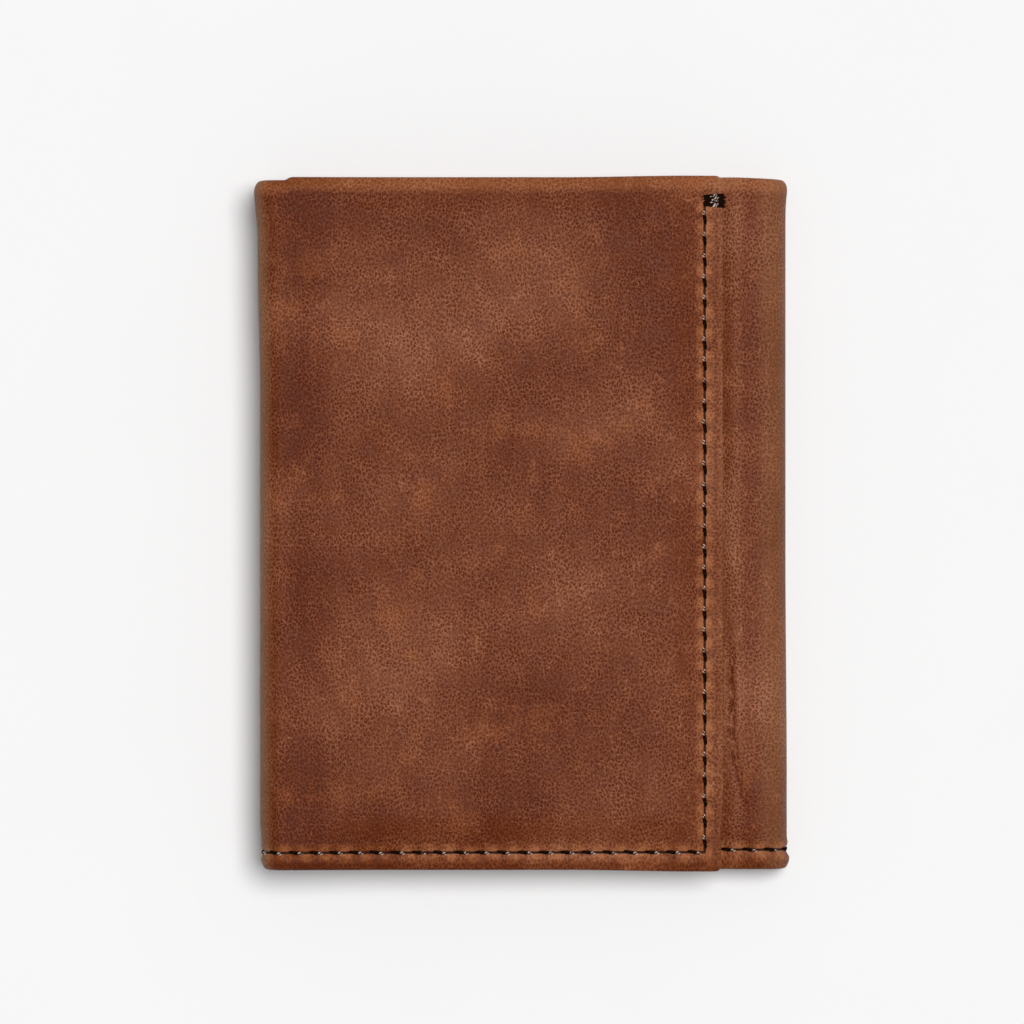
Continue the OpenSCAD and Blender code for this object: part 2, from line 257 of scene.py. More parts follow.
def beside(row, s, v):
    """How far along a row the places are, and how far from its line."""
    (s0, v0), (s1, v1) = row
    run = stitches_in(row)[1]
    ahead = ((s - s0) * (s1 - s0) + (v - v0) * (v1 - v0)) / run
    aside = ((v - v0) * (s1 - s0) - (s - s0) * (v1 - v0)) / run
    past = np.maximum(0, np.maximum(-ahead, ahead - run))
    return ahead, np.hypot(aside, past)


def furrow(rows, s, v):
    """How deep the seams press the face in. It is below zero where the leather swells."""
    deep = np.zeros_like(s)
    for row in rows:
        count, run = stitches_in(row)
        ahead, off = beside(row, s, v)
        beat = 0.5 - 0.5 * np.cos(2 * math.pi * ahead * count / run)
        deep += (PRESSED + BEAT * beat) * hump(off, 0, 0.5 * MM)
        deep -= (SWOLLEN - BEAT * beat) * hump(off, 1.05 * MM, 0.55 * MM)
    return deep


for name, row in COVER_ROWS.items():
    print(name, "has", stitches_in(row)[0], "stitches")

# %% [markdown]
# ## A flat sheet
# Leather has thickness and its edge is turned over, so its outline is round and not cut.
# A plane with a Solidify modifier would give square edges. Here a grid operator makes the
# sheet, its lines are set closer together near edges and seams, and one extrude closes it
# into a thin slab. The flat place of each point is kept as a UV map in metres: it is the
# leather's own ruler, and every finish is drawn with it.


# %% Make a slab
EDGE_LINES = (0.03, 0.12, 0.26, 0.45, 0.72)
SEAM_LINES = (-1.1, -0.6, -0.3, 0, 0.3, 0.6, 1.1)
CLOSEST = 0.085 * MM


def ruled(marks, step, edges=(), near=()):
    """Grid lines through the marks, step apart, with extra lines by edges and near seams."""
    lines = [marks[0]]
    for a, b in zip(marks, marks[1:]):
        count = max(1, round((b - a) / step))
        lines += [a + (b - a) * i / count for i in range(1, count + 1)]
    for edge, inward in edges:
        lines += [edge + inward * d * MM for d in EDGE_LINES]
    for place in near:
        lines += [place + d * MM for d in SEAM_LINES]
    lines = sorted(x for x in lines if marks[0] <= x <= marks[-1])
    kept = [lines[0]]
    for x in lines[1:]:
        if x - kept[-1] > CLOSEST:
            kept.append(x)
    kept[-1] = marks[-1]
    return kept


def slab(s_lines, v_lines, hole=None):
    """A closed slab over the lines, where x is s, y is v and z is the face: 1 outside, 0 inside."""
    bm = bmesh.new()
    across, up = len(s_lines) - 1, len(v_lines) - 1
    bmesh.ops.create_grid(bm, x_segments=across, y_segments=up, size=0.5)
    for vert in bm.verts:
        i, j = round((vert.co.x + 0.5) * across), round((vert.co.y + 0.5) * up)
        vert.co = (s_lines[i], v_lines[j], 0)
    if hole:
        gone = [f for f in bm.faces if hole(f.calc_center_median())]
        bmesh.ops.delete(bm, geom=gone, context="FACES")
    made = bmesh.ops.extrude_face_region(bm, geom=bm.faces[:])["geom"]
    for item in made:
        if isinstance(item, bmesh.types.BMVert):
            item.co.z = 1
    bmesh.ops.recalc_face_normals(bm, faces=bm.faces[:])
    return bm


def flat_places(bm):
    """The s, v and face or depth of every vertex, as arrays."""
    return np.array([v.co[:] for v in bm.verts]).T


def rounded(s, v, radius, s_edge, v_edge):
    """Rounds one corner of a sheet: the square beside it is drawn in to a quarter disc."""
    s_in, v_in = np.sign(CUT_BACK - s_edge), -np.sign(v_edge)
    a = 1 - (s - s_edge) * s_in / radius
    b = 1 - (v - v_edge) * v_in / radius
    there = (a > 0) & (b > 0)
    round_a = a * np.sqrt(np.clip(1 - b * b / 2, 0, 1))
    round_b = b * np.sqrt(np.clip(1 - a * a / 2, 0, 1))
    s = np.where(there, s_edge + s_in * radius * (1 - round_a), s)
    v = np.where(there, v_edge + v_in * radius * (1 - round_b), v)
    return s, v


def roll(gap, width, height):
    """How far a round edge falls away at a distance from the outline."""
    t = np.clip(1 - gap / width, 0, 1)
    return height * (1 - np.sqrt(np.clip(1 - t * t, 0, 1)))


# %% [markdown]
# ## From flat to folded
# The last step for every soft piece is the same: fold its points, store the ruler map,
# shade it smooth with sharp lines only where two pieces meet, and hang it on the CAD body
# that carries it. A piece that crosses a fold is left where it lies and hangs on no body.

# %% Finish a piece
FOLDS = {
    "outer": ("left_spine", "outer_flap", (-SIDE, 0, TOP_Z - BEND_R), (-FLAT_X, 0, TOP_Z)),
    "back_left": ("back", "left_spine", (-FLAT_X, 0, 0), (-SIDE, 0, BEND_R)),
    "back_right": ("back", "right_spine", (FLAT_X, 0, 0), (SIDE, 0, BEND_R)),
    "inner": ("right_spine", "inner_flap", (SIDE, 0, TUCK_Z - BEND_R), (FLAT_X, 0, TUCK_Z)),
}
SPANS = {
    "outer": (0.0, CUT_LEFT), "back_left": (CUT_LEFT, CUT_BACK),
    "back_right": (CUT_BACK, CUT_RIGHT), "inner": (CUT_RIGHT, S_END),
}


def carried(obj, by, nodes):
    """obj hides the CAD nodes it stands for and is parented to a body; a piece that crosses a fold stays in
    place and joins no body.
    """
    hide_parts(*nodes)
    if by in FOLDS:
        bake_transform(obj)
    else:
        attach(obj, by)
    print(f"{obj.name}: {len(obj.data.polygons)} faces, carried by {by}")


def finish_sheet(name, bm, s, v, depth, rim, material, cuts=()):
    """Turns a flat bmesh into a folded object with its ruler map and the distance to its rim."""
    for edge in bm.edges:
        a, b = edge.verts
        edge.smooth = not any(abs(a.co.x - c) < 1e-7 and abs(b.co.x - c) < 1e-7 for c in cuts)
    for face in bm.faces:
        face.smooth = True
    mesh = bpy.data.meshes.new(name)
    bm.to_mesh(mesh)
    bm.free()
    mesh.vertices.foreach_set("co", fold(s, v, depth).astype(np.float32).ravel())
    ruler = mesh.uv_layers.new(name="ruler")
    corners = np.zeros(len(mesh.loops), np.int32)
    mesh.loops.foreach_get("vertex_index", corners)
    ruler.data.foreach_set("uv", np.stack([s, v], axis=-1)[corners].astype(np.float32).ravel())
    mesh.attributes.new("rim", "FLOAT", "POINT").data.foreach_set("value", rim.astype(np.float32))
    mesh.materials.append(material)
    mesh.update()
    obj = bpy.data.objects.new(name, mesh)
    bpy.context.scene.collection.objects.link(obj)
    return obj


# %% [markdown]
# ## Shader sums
# A finish is arithmetic on a few numbers, such as the distance to an edge. Wiring Math
# nodes by hand hides that, so a small class lets Python write the sums. Every node that
# isn't a sum comes from one method, which sets the node up and joins its sockets.


# %% A socket that can add
class Wire:
    """A shader socket. Sums on it add Math nodes to its tree."""

    def __init__(self, tree, socket=None):
        self.tree, self.socket = tree, socket

    def node(self, kind, sockets, out=0, **settings):
        made = self.tree.nodes.new(kind)
        stops = settings.pop("stops", None)
        for key, value in settings.items():
            setattr(made, key, value)
        if stops:
            made.color_ramp.elements.remove(made.color_ramp.elements[1])
            made.color_ramp.elements[0].position = stops[0][0]
            made.color_ramp.elements[0].color = stops[0][1]
            for place, colour in stops[1:]:
                made.color_ramp.elements.new(place).color = colour
        for key, value in sockets.items():
            if isinstance(value, Wire):
                self.tree.links.new(value.socket, made.inputs[key])
            else:
                made.inputs[key].default_value = value
        return Wire(self.tree, made.outputs[out])

    def math(self, operation, *values):
        return self.node("ShaderNodeMath", dict(enumerate(values)), operation=operation)

    def __add__(self, other):
        return self.math("ADD", self, other)

    def __sub__(self, other):
        return self.math("SUBTRACT", self, other)

    def __rsub__(self, other):
        return self.math("SUBTRACT", other, self)

    def __mul__(self, other):
        return self.math("MULTIPLY", self, other)

    def __truediv__(self, other):
        return self.math("DIVIDE", self, other)

    __radd__, __rmul__ = __add__, __mul__

    def step(self, start, stop):
        """0 before start, 1 after stop, smooth between them."""
        ends = {0: self, 1: start, 2: stop, 3: 0.0, 4: 1.0}
        return self.node("ShaderNodeMapRange", ends, interpolation_type="SMOOTHSTEP")

    def tint(self, low, high):
        """A colour from low to high, mixed by this value."""
        return self.node("ShaderNodeMix", {0: self, 6: low, 7: high}, out=2, data_type="RGBA")


def apart(wire, place):
    """How far a value is from a place, on either side."""
    gap = wire - place
    return gap.math("ABSOLUTE", gap)


def least(a, b):
    return a.math("MINIMUM", a, b)


def most(a, b):
    return a.math("MAXIMUM", a, b)


def paint(red, green, blue):
    """A shader colour from the 0-255 numbers of a colour picker."""
    channels = [c / 255 for c in (red, green, blue)]
    return tuple(c / 12.92 if c <= 0.04045 else ((c + 0.055) / 1.055) ** 2.4 for c in channels) + (1.0,)


def noise(where, size, detail=2.0, rough=0.5, twist=0.0):
    """Cloudy noise whose lumps are about size metres across."""
    sockets = {"Vector": where, "Scale": 1 / size, "Detail": detail, "Roughness": rough, "Distortion": twist}
    return where.node("ShaderNodeTexNoise", sockets, noise_dimensions="2D")


def veins(where, size, twist=0.6, sharp=3.2):
    """Thin bright lines that wander over the skin, from the middle level of a noise."""
    level = noise(where, size, detail=1.5, rough=0.55, twist=twist)
    return (1 - apart(level, 0.5) * 2 * sharp).step(0.0, 1.0)


def cells(where, size, feature):
    """The distance to the middle of the nearest cell, or to the nearest wall between cells."""
    sockets = {"Vector": where, "Scale": 1 / size, "Randomness": 1.0}
    return where.node("ShaderNodeTexVoronoi", sockets, voronoi_dimensions="2D", feature=feature)


# %% [markdown]
# ## Oiled leather
# The cover is oiled, slightly waxy cowhide that has been rubbed. Close up, light threads
# run round darker cells less than a millimetre wide. Further off it is cloudy: greyish
# where the wax sits and orange where it is rubbed. The ruler map gives the distance to
# edges and seams, which is where leather darkens or wears, and where shade and sheen are
# painted into the colour: painted shadow along the seams, painted shade and sheen at the
# folds and a painted highlight beside the stitches.


# %% Mix the leather
HIDE = [
    (0.0, paint(74, 25, 5)), (0.25, paint(93, 39, 12)), (0.5, paint(112, 58, 33)),
    (0.75, paint(134, 80, 54)), (1.0, paint(158, 104, 76)),
]
RUBBED, ORANGE, GREY, DARK = paint(146, 80, 38), paint(158, 92, 46), paint(132, 96, 66), paint(36, 12, 6)
CELL = 0.5 * MM
# Where the painted shade beside the left fold is darkest.
LEFT_SHADE_S = 64.5 * MM


def start_finish(name):
    """A new Principled material, with its tree and its shader node."""
    material = bpy.data.materials.new(name)
    material.use_nodes = True
    tree = material.node_tree
    shader = tree.nodes["Principled BSDF"]
    return material, tree, shader


def ruler_of(tree):
    """The ruler map as a vector, and its two numbers."""
    vector = Wire(tree).node("ShaderNodeUVMap", {}, uv_map="ruler")
    s = vector.node("ShaderNodeSeparateXYZ", {0: vector}, out=0)
    return vector, s, Wire(tree, s.socket.node.outputs[1])


def stretched(vector, along_s, along_v):
    """The ruler, squeezed so that marks on it come out longer."""
    return vector.node("ShaderNodeVectorMath", {0: vector, 1: (along_s, along_v, 1)}, operation="MULTIPLY")


def leather(name, wear_and_shade):
    """Oiled leather. The wear function gives what it adds to the tone, and its tints: how much of which
    colour. On the cover these hold painted shade, sheen and highlights as well as wear.
    """
    material, tree, shader = start_finish(name)
    vector, s, v = ruler_of(tree)
    rim = vector.node("ShaderNodeAttribute", {}, out=2, attribute_name="rim")
    drift = noise(vector, 1.0 * MM, detail=2).socket.node.outputs["Color"]
    drift = stretched(Wire(tree, drift), 0.7 * MM, 0.7 * MM)
    skin = stretched(vector.node("ShaderNodeVectorMath", {0: vector, 1: drift}, operation="ADD"), 1.0, 0.78)
    pores = cells(skin, CELL, "F1").step(0.42, 0.12)
    net = cells(skin, CELL, "DISTANCE_TO_EDGE").step(0.17, 0.02)
    fine = noise(stretched(vector, 1.0, 0.8), 0.3 * MM, detail=3, rough=0.6)
    strength = 0.6 + noise(vector, 4.5 * MM).step(0.34, 0.62) * 0.6
    grain = (net * 0.5 - pores * 0.55) * strength + (fine - 0.5) * 2.1
    cloud = noise(vector, 20 * MM, detail=3, rough=0.5) + noise(vector, 45 * MM, detail=1) * 0.5 - 0.25
    mottle = noise(vector, 3.0 * MM, detail=2, rough=0.6)
    streak = noise(stretched(vector, 1.0, 0.3), 2.4 * MM, detail=3, rough=0.65)
    rubbed = noise(vector, 9 * MM, detail=4, rough=0.65).step(0.54, 0.74)
    scratch = veins(stretched(vector, 1.0, 0.45), 5.5 * MM, twist=1.2, sharp=26) * mottle.step(0.5, 0.62)
    tone = 0.43 + grain * 0.46 + (mottle - 0.5) * 0.16 + (streak - 0.5) * 0.22 + (cloud - 0.5) * 0.6
    more, stains_and_shade = wear_and_shade(vector, s, v, rim)
    tone = tone + scratch * 0.18 + rubbed * 0.06 + more
    colour = tone.node("ShaderNodeValToRGB", {0: tone}, stops=HIDE)
    for amount, shade in [(rubbed * 0.22, RUBBED)] + stains_and_shade:
        colour = amount.tint(colour, shade)
    tree.links.new(colour.socket, shader.inputs["Base Color"])
    rough = 0.5 + (mottle - 0.5) * 0.3 - grain * 0.12
    tree.links.new(rough.socket, shader.inputs["Roughness"])
    height = grain * 0.8 + mottle * 0.8
    bump = height.node("ShaderNodeBump", {"Strength": 0.5, "Distance": 0.07 * MM, "Height": height})
    tree.links.new(bump.socket, shader.inputs["Normal"])
    shader.inputs["Specular IOR Level"].default_value = 0.08
    return material


def stitch_beat(ahead, row):
    """1 at the stitch holes of a row and 0 halfway between them."""
    count, run = stitches_in(COVER_ROWS[row])
    turns = ahead * (2 * math.pi * count / run)
    return turns.math("COSINE", turns) * 0.5 + 0.5


def cover_wear(vector, s, v, rim):
    """What handling and sewing have done to the cover, by the distance to edges and seams, with the painted
    shade, sheen and highlights at its folds, crease and seams.
    """
    patch = noise(vector, 2.2 * MM, detail=2)
    top = (HALF_H - v).step(2.9 * MM, 1.2 * MM)
    low = (v + HALF_H).step(2.3 * MM, 1.0 * MM)
    free = least(s, S_END - s)
    off_free = most(apart(free, SEAM_IN), most(SEAM_Y - v, v - TACK_Y))
    off_low = most(apart(v, SEAM_Y), SEAM_IN - free)
    off = least(off_free, off_low)
    down = stitch_beat(TACK_Y - v, "flap_edge")
    aside = stitch_beat(s - SEAM_IN, "lower_edge")
    by_low = off_free.math("GREATER_THAN", off_free, off_low)
    gaps = down + (aside - down) * by_low
    # Lighter orange beside the seams: partly the leather's pull-up colour along the row, partly a painted
    # highlight on the swollen leather beside the stitch holes.
    halo_and_highlight = off.step(1.8 * MM, 0.3 * MM) * (0.3 + gaps * 0.7) * patch.step(0.15, 0.6)
    margin = free.step(SEAM_IN + 0.2 * MM, SEAM_IN - 0.4 * MM)
    # Painted shadow: a dark line along each row of stitches, where the seam's furrow and its holes lie in
    # shade.
    furrow_shadow = off.step(0.27 * MM, 0.13 * MM)
    lip = free.step(1.1 * MM, 0.2 * MM)
    # Painted sheen: a lighter, greyer band over the left fold, standing in for light reflected from its side.
    left_fold_sheen = s.step(S_FLAP + 1.0 * MM, S_FLAP + 4.4 * MM) * s.step(S_FLAP + 10 * MM, S_FLAP + 6 * MM)
    # Painted shade: a darker band where the outer flap rolls into the left fold, away from the light.
    turn = s.step(S_FLAP - 10 * MM, S_FLAP - 2 * MM) * s.step(S_FLAP + 3.2 * MM, S_FLAP - 1.5 * MM)
    # Painted shade in a band beside the left fold, and the cover grows darker towards the bottom.
    left_shade_and_low_dark = apart(s, LEFT_SHADE_S).step(5 * MM, 1 * MM) + v.step(-22 * MM, -48 * MM)
    # Painted shade in the crease across the tucked flap's strip, broken into dark streaks by the wrinkles.
    crease_shade = apart(s + v.step(-33 * MM, -44 * MM) * CREASE_LEAN, CREASE_S).step(1.0 * MM, 0.1 * MM)
    wrinkle = noise(stretched(vector, 1.0, 0.25), 0.6 * MM, detail=2).step(0.36, 0.6)
    crease_shade = crease_shade * v.step(-12 * MM, -26 * MM) * v.step(-46 * MM, -40 * MM) * wrinkle
    # Painted sheen: lighter and greyer over the right fold.
    bend = s.step(S_TUCK + 1.6 * MM, S_TUCK - 1.2 * MM) * s.step(S_BACK_END, S_RIGHT)
    # A painted highlight on the strip beside the outer flap's edge, over the shade that edge throws.
    strip_highlight = s.step(S_TUCK + 2.6 * MM, S_TUCK + 4.4 * MM) + s.step(S_TUCK + 6 * MM, S_TUCK + 7 * MM) * 0.5
    strip_highlight = strip_highlight * s.step(S_TUCK + 12 * MM, S_TUCK + 9 * MM)
    more = top * (0.14 + patch * 0.25) + low * (patch - 0.76) * 0.3 + halo_and_highlight * 0.54 + lip * 0.15 + left_fold_sheen * 0.3
    more = more + bend * 0.06 + strip_highlight * 0.17 - left_shade_and_low_dark * 0.06 - turn * 0.11 - crease_shade * 0.45
    # The orange tint holds pull-up colour and the painted highlight beside the seams; the grey tint holds the
    # painted sheen on both folds and a little at the free edge.
    orange = (halo_and_highlight * 0.5 + top * 0.25 + margin * 0.05 + low * 0.05) * (1 - furrow_shadow)
    grey = left_fold_sheen * 0.7 + bend * 0.25 + lip * 0.1
    return more, [(orange, ORANGE), (grey, GREY), (furrow_shadow * 0.97, DARK)]


def pocket_wear(vector, s, v, rim):
    """A burnished edge and, just inside it, the line that a hot creaser leaves."""
    patch = noise(vector, 3.5 * MM, detail=2)
    edge = rim.step(0.55 * MM, 0.2 * MM)
    line = apart(rim, 1.5 * MM).step(0.26 * MM, 0.08 * MM)
    return (patch - 0.5) * 0.2, [(patch * 0.12, ORANGE), (edge * 0.6 + line * 0.4, DARK)]


cover_leather = leather("oiled_leather", cover_wear)
pocket_leather = leather("pocket_leather", pocket_wear)
print("leather nodes:", len(cover_leather.node_tree.nodes))

# %% [markdown]
# ## Lining, thread and window
# The lining is a plain woven cotton, so two crossed waves on the ruler map give its weave.
# The thread is waxed polyester: nearly black, with a painted highlight on its twist
# where a stitch comes out of its hole. The card window is clear soft plastic.


# %% Mix the other finishes
YARN = 0.42 * MM


def ribs(turns):
    """A wave for each whole number of turns."""
    angle = turns * (2 * math.pi)
    return angle.math("SINE", angle)


def lining_cloth():
    material, tree, shader = start_finish("woven_lining")
    vector, s, v = ruler_of(tree)
    weave = 0.5 + ribs(s / YARN) * ribs(v / YARN) * 0.5
    slub = noise(stretched(vector, 0.2, 1.0), 1.4 * MM, detail=3)
    tone = weave * 0.6 + slub * 0.5
    colour = tone.tint(paint(46, 32, 26), paint(98, 74, 60))
    tree.links.new(colour.socket, shader.inputs["Base Color"])
    tree.links.new((0.75 + slub * 0.15).socket, shader.inputs["Roughness"])
    bump = weave.node("ShaderNodeBump", {"Strength": 0.6, "Distance": 0.08 * MM, "Height": weave})
    tree.links.new(bump.socket, shader.inputs["Normal"])
    return material


def waxed_thread():
    material, tree, shader = start_finish("waxed_thread")
    vector, u, turn = ruler_of(tree)
    ply = ribs(turn * 2 + u * 3.4) * 0.5 + 0.5
    place = vector.node("ShaderNodeTexCoord", {}, out=3)
    fuzz = vector.node("ShaderNodeTexNoise", {"Scale": 3000.0, "Detail": 2.0, "Vector": place})
    # Painted highlight: a pale colour mixed into the twist near one end of each thread.
    glint = apart(u, 0.0).step(0.26, 0.1)
    lit = glint * ply.step(0.1, 0.6) * fuzz.step(0.34, 0.5)
    colour = (ply * 0.6).tint(paint(14, 6, 3), paint(40, 21, 13))
    colour = lit.tint(colour, paint(206, 182, 168))
    tree.links.new(colour.socket, shader.inputs["Base Color"])
    tree.links.new((0.6 + ply * 0.2).socket, shader.inputs["Roughness"])
    shader.inputs["Specular IOR Level"].default_value = 0.01
    bump = ply.node("ShaderNodeBump", {"Strength": 0.6, "Distance": 0.06 * MM, "Height": ply})
    tree.links.new(bump.socket, shader.inputs["Normal"])
    return material


def clear_film():
    material, tree, shader = start_finish("clear_window")
    vector, s, v = ruler_of(tree)
    haze = noise(vector, 6 * MM, detail=3)
    tree.links.new((0.1 + haze * 0.16).socket, shader.inputs["Roughness"])
    tree.links.new(haze.tint(paint(214, 218, 220), paint(236, 238, 238)).socket, shader.inputs["Base Color"])
    shader.inputs["Alpha"].default_value = 0.22
    return material


lining_finish, thread_finish, film_finish = lining_cloth(), waxed_thread(), clear_film()
print("finishes:", [m.name for m in bpy.data.materials])

# %% [markdown]
# ## The cover
# One strip of leather, 1.1 mm thick, with a margin turned in along every edge. It is cut
# in four at the middle of the spines and of the back only because a bending piece can
# cross one joint: the ends share the same points, so no line shows.


# %% Cut the cover
CORNER_R = 0.9 * MM


def cover_piece(part):
    """One of the cover's four parts, with its turned margin, rolled edges and furrows."""
    start, stop = SPANS[part]
    ends = [(e, 1 if e == 0.0 else -1) for e in (start, stop) if e in (0.0, S_END)]
    seams = [p for p in (SEAM_IN, S_END - SEAM_IN) if start < p < stop]
    step = 0.5 * MM if part in ("outer", "inner") else 0.8 * MM
    marks = [start] + [p for p in STOPS[1:-1] if start < p < stop] + [stop]
    s_lines = ruled(marks, step, ends, seams)
    v_lines = ruled([-HALF_H, HALF_H], step, [(-HALF_H, 1), (HALF_H, -1)], [SEAM_Y])
    bm = slab(s_lines, v_lines)
    s, v, face = flat_places(bm)
    to_top, to_low = HALF_H - v, v + HALF_H
    to_free = np.minimum(s, S_END - s)
    gap = np.minimum(np.minimum(to_top, to_low), to_free)
    margin = smooth(gap, HEM_IN + 0.2 * MM, HEM_IN - 0.2 * MM)
    drop = roll(to_top, 2.0 * MM, 1.25 * MM) + roll(to_low, 1.3 * MM, 0.95 * MM)
    drop = drop + roll(to_free, 1.0 * MM, 0.8 * MM)
    outside = np.minimum(drop, 1.3 * MM) + furrow(COVER_ROWS.values(), s, v)
    inside = COVER_T + HEM_T * margin - np.minimum(roll(gap, 0.6 * MM, 0.4 * MM), 0.4 * MM)
    depth = np.where(face > 0.5, outside, inside)
    if ends:
        for v_edge in (-HALF_H, HALF_H):
            s, v = rounded(s, v, CORNER_R, ends[0][0], v_edge)
    cuts = [e for e in (start, stop) if e not in (0.0, S_END)]
    return finish_sheet("cover_" + part, bm, s, v, depth, gap, cover_leather, cuts)


COVER_NODES = {
    "outer": [
        "cover_outer_flap", "cover_bend_left_upper", "hem_outer_flap", "cover_left_spine", "hem_left_spine",
    ],
    "back_left": ["cover_back", "cover_bend_left_lower", "hem_back"],
    "back_right": ["cover_bend_right_lower", "cover_right_spine", "hem_right_spine"],
    "inner": ["cover_inner_flap", "cover_bend_right_upper", "hem_inner_flap"],
}
for part, nodes in COVER_NODES.items():
    carried(cover_piece(part), part, nodes)

# %% [markdown]
# ## Lining and bill wall
# Inside the cover lies a thin woven lining, tucked under the turned margins, and then a
# wall of thinner leather. The banknotes go between the two. Both follow the folds as the
# cover does, only deeper, so the same functions make them.


# %% Hang the lining and the wall
def plain_sheet(
    name, marks, low, high, top, bottom, material, edge=0.25 * MM, cuts=(), rows=(), step=1.0 * MM
):
    """A sheet from depth top to depth bottom with softly rounded edges."""
    free = [e for e in (marks[0], marks[-1]) if e not in cuts]
    s_lines = ruled(marks, step, [(e, 1 if e == marks[0] else -1) for e in free], [r[0][0] for r in rows])
    v_lines = ruled([low, high], step, [(low, 1), (high, -1)], [SEAM_Y] if rows else [])
    bm = slab(s_lines, v_lines)
    s, v, face = flat_places(bm)
    gap = np.minimum(high - v, v - low)
    for e in free:
        gap = np.minimum(gap, abs(s - e))
    most_off = 0.45 * (bottom - top)
    thin = np.minimum(roll(gap, 1.6 * edge, most_off), most_off)
    inner_face = bottom - thin - furrow(rows, s, v) if rows else bottom - thin
    depth = np.where(face > 0.5, top + thin, inner_face)
    return finish_sheet(name, bm, s, v, depth, gap, material, cuts)


def depths(node, outside_z):
    """The two depths of a CAD sheet under an outside face that is level."""
    low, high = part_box(node)
    return sorted(abs(outside_z - z) for z in (low.z, high.z))


LINING_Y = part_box("lining_back")[1].y
LINING_IN = FLAP_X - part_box("lining_outer_flap")[1].x
lining_top, lining_low = depths("lining_back", 0.0)
wall_low_y, wall_high_y = (corner.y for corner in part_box("bill_wall_back"))
WALL_IN = FLAP_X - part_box("bill_wall_outer_flap")[1].x
wall_top, wall_bottom = depths("bill_wall_back", 0.0)
LAYER_NODES = {
    "outer": ["{}_outer_flap", "{}_bend_left_upper", "{}_left_spine"],
    "back_left": ["{}_back", "{}_bend_left_lower"],
    "back_right": ["{}_bend_right_lower", "{}_right_spine"],
    "inner": ["{}_inner_flap", "{}_bend_right_upper"],
}
for part, (start, stop) in SPANS.items():
    for layer in ("lining", "bill_wall"):
        inset = LINING_IN if layer == "lining" else WALL_IN
        first, last = max(start, inset), min(stop, S_END - inset)
        cuts = [e for e in (start, stop) if e not in (0.0, S_END)]
        marks = [first] + [p for p in STOPS[1:-1] if first < p < last] + [last]
        nodes = [n.format(layer) for n in LAYER_NODES[part]]
        if layer == "lining":
            sides = (-LINING_Y, LINING_Y, lining_top, lining_low)
            obj = plain_sheet("lining_" + part, marks, *sides, lining_finish, 0.1 * MM, cuts)
            last - first
            "cover_" + part
            carried(obj, part, nodes)
        else:
            sides = (wall_low_y, wall_high_y, wall_top, wall_bottom)
            obj = plain_sheet("bill_wall_" + part, marks, *sides, pocket_leather, 0.25 * MM, cuts)
            carried(obj, part, nodes)

# %% [markdown]
# ## Card pockets
# On the bill wall of each wide panel lie a slip pocket and three card pockets, one in
# front of the other, stepped like roof tiles. Only their mouths show when the wallet is
# open. They are flat sheets of the thin leather, and each rides on its own panel.

# %% Cut the pockets
PANELS = {
    "back": (CUT_BACK, 1.0, 0.0),
    "outer_flap": (FLAP_X, -1.0, TOP_Z),
    "inner_flap": (S_END + TUCK_X, -1.0, TUCK_Z),
}


def on_panel(panel, x):
    """The s of a place with that x on a flat panel."""
    origin, way, level = PANELS[panel]
    return origin + way * x


def pocket(name, panel, rows=()):
    """A sheet of thin leather in the place of a CAD pocket, pressed in along its seams."""
    low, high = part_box(name)
    ends = sorted(on_panel(panel, x) for x in (low.x, high.x))
    sides = (low.y, high.y, *depths(name, PANELS[panel][2]))
    obj = plain_sheet(name + "_leather", ends, *sides, pocket_leather, rows=rows, step=0.9 * MM)
    carried(obj, panel, [name])


FOLD_SEAM_X = 32.6 * MM
FRONTS = {
    "back": ("card_pocket_back_front", -FOLD_SEAM_X, FOLD_SEAM_X),
    "outer_flap": ("card_pocket_outer_flap_front", -FOLD_SEAM_X, FLAP_X - SEAM_IN),
    "inner_flap": ("window_frame", TUCK_X + SEAM_IN, FOLD_SEAM_X),
}
POCKET_ROWS = {}
for panel, (front, left_x, right_x) in FRONTS.items():
    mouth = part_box(front)[1].y
    a, b = sorted((on_panel(panel, left_x), on_panel(panel, right_x)))
    POCKET_ROWS[panel] = [((a, mouth), (a, SEAM_Y)), ((a, SEAM_Y), (b, SEAM_Y)), ((b, SEAM_Y), (b, mouth))]

for panel in ("back", "outer_flap"):
    pocket("slip_pocket_" + panel, panel)
    for place in ("rear", "middle", "front"):
        pocket(f"card_pocket_{panel}_{place}", panel, POCKET_ROWS[panel] if place == "front" else ())
pocket("window_backing", "inner_flap")

# %% [markdown]
# ## The card window
# The tucked flap holds a clear window in a leather frame, with a half-round notch at its
# mouth for the thumb. The frame starts as the same grid. The faces in the opening are
# deleted before the grid is made thick, so the opening gets walls of its own, and the
# points by the notch are drawn onto its circle.

# %% Frame the window
frame_low, frame_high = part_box("window_frame")
film_low, film_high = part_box("window_film")
FILM_IN = 3.0 * MM
window = [film_low.x + FILM_IN, film_high.x - FILM_IN, film_low.y + FILM_IN, film_high.y - FILM_IN]
NOTCH_R = 8.0 * MM
notch_x, notch_y = (window[0] + window[1]) / 2, frame_high.y + NOTCH_R / 2
hole_s = sorted(on_panel("inner_flap", x) for x in window[:2])
notch_s = on_panel("inner_flap", notch_x)


def opening(place):
    """True inside the window or the thumb notch."""
    in_window = hole_s[0] < place.x < hole_s[1] and window[2] < place.y < window[3]
    return in_window or math.hypot(place.x - notch_s, place.y - notch_y) < NOTCH_R


def is_wall(edge):
    """True for an edge that runs from one face of the slab to the other."""
    a, b = edge.verts
    return len(edge.link_faces) == 2 and abs(a.co.z - b.co.z) > 0.5


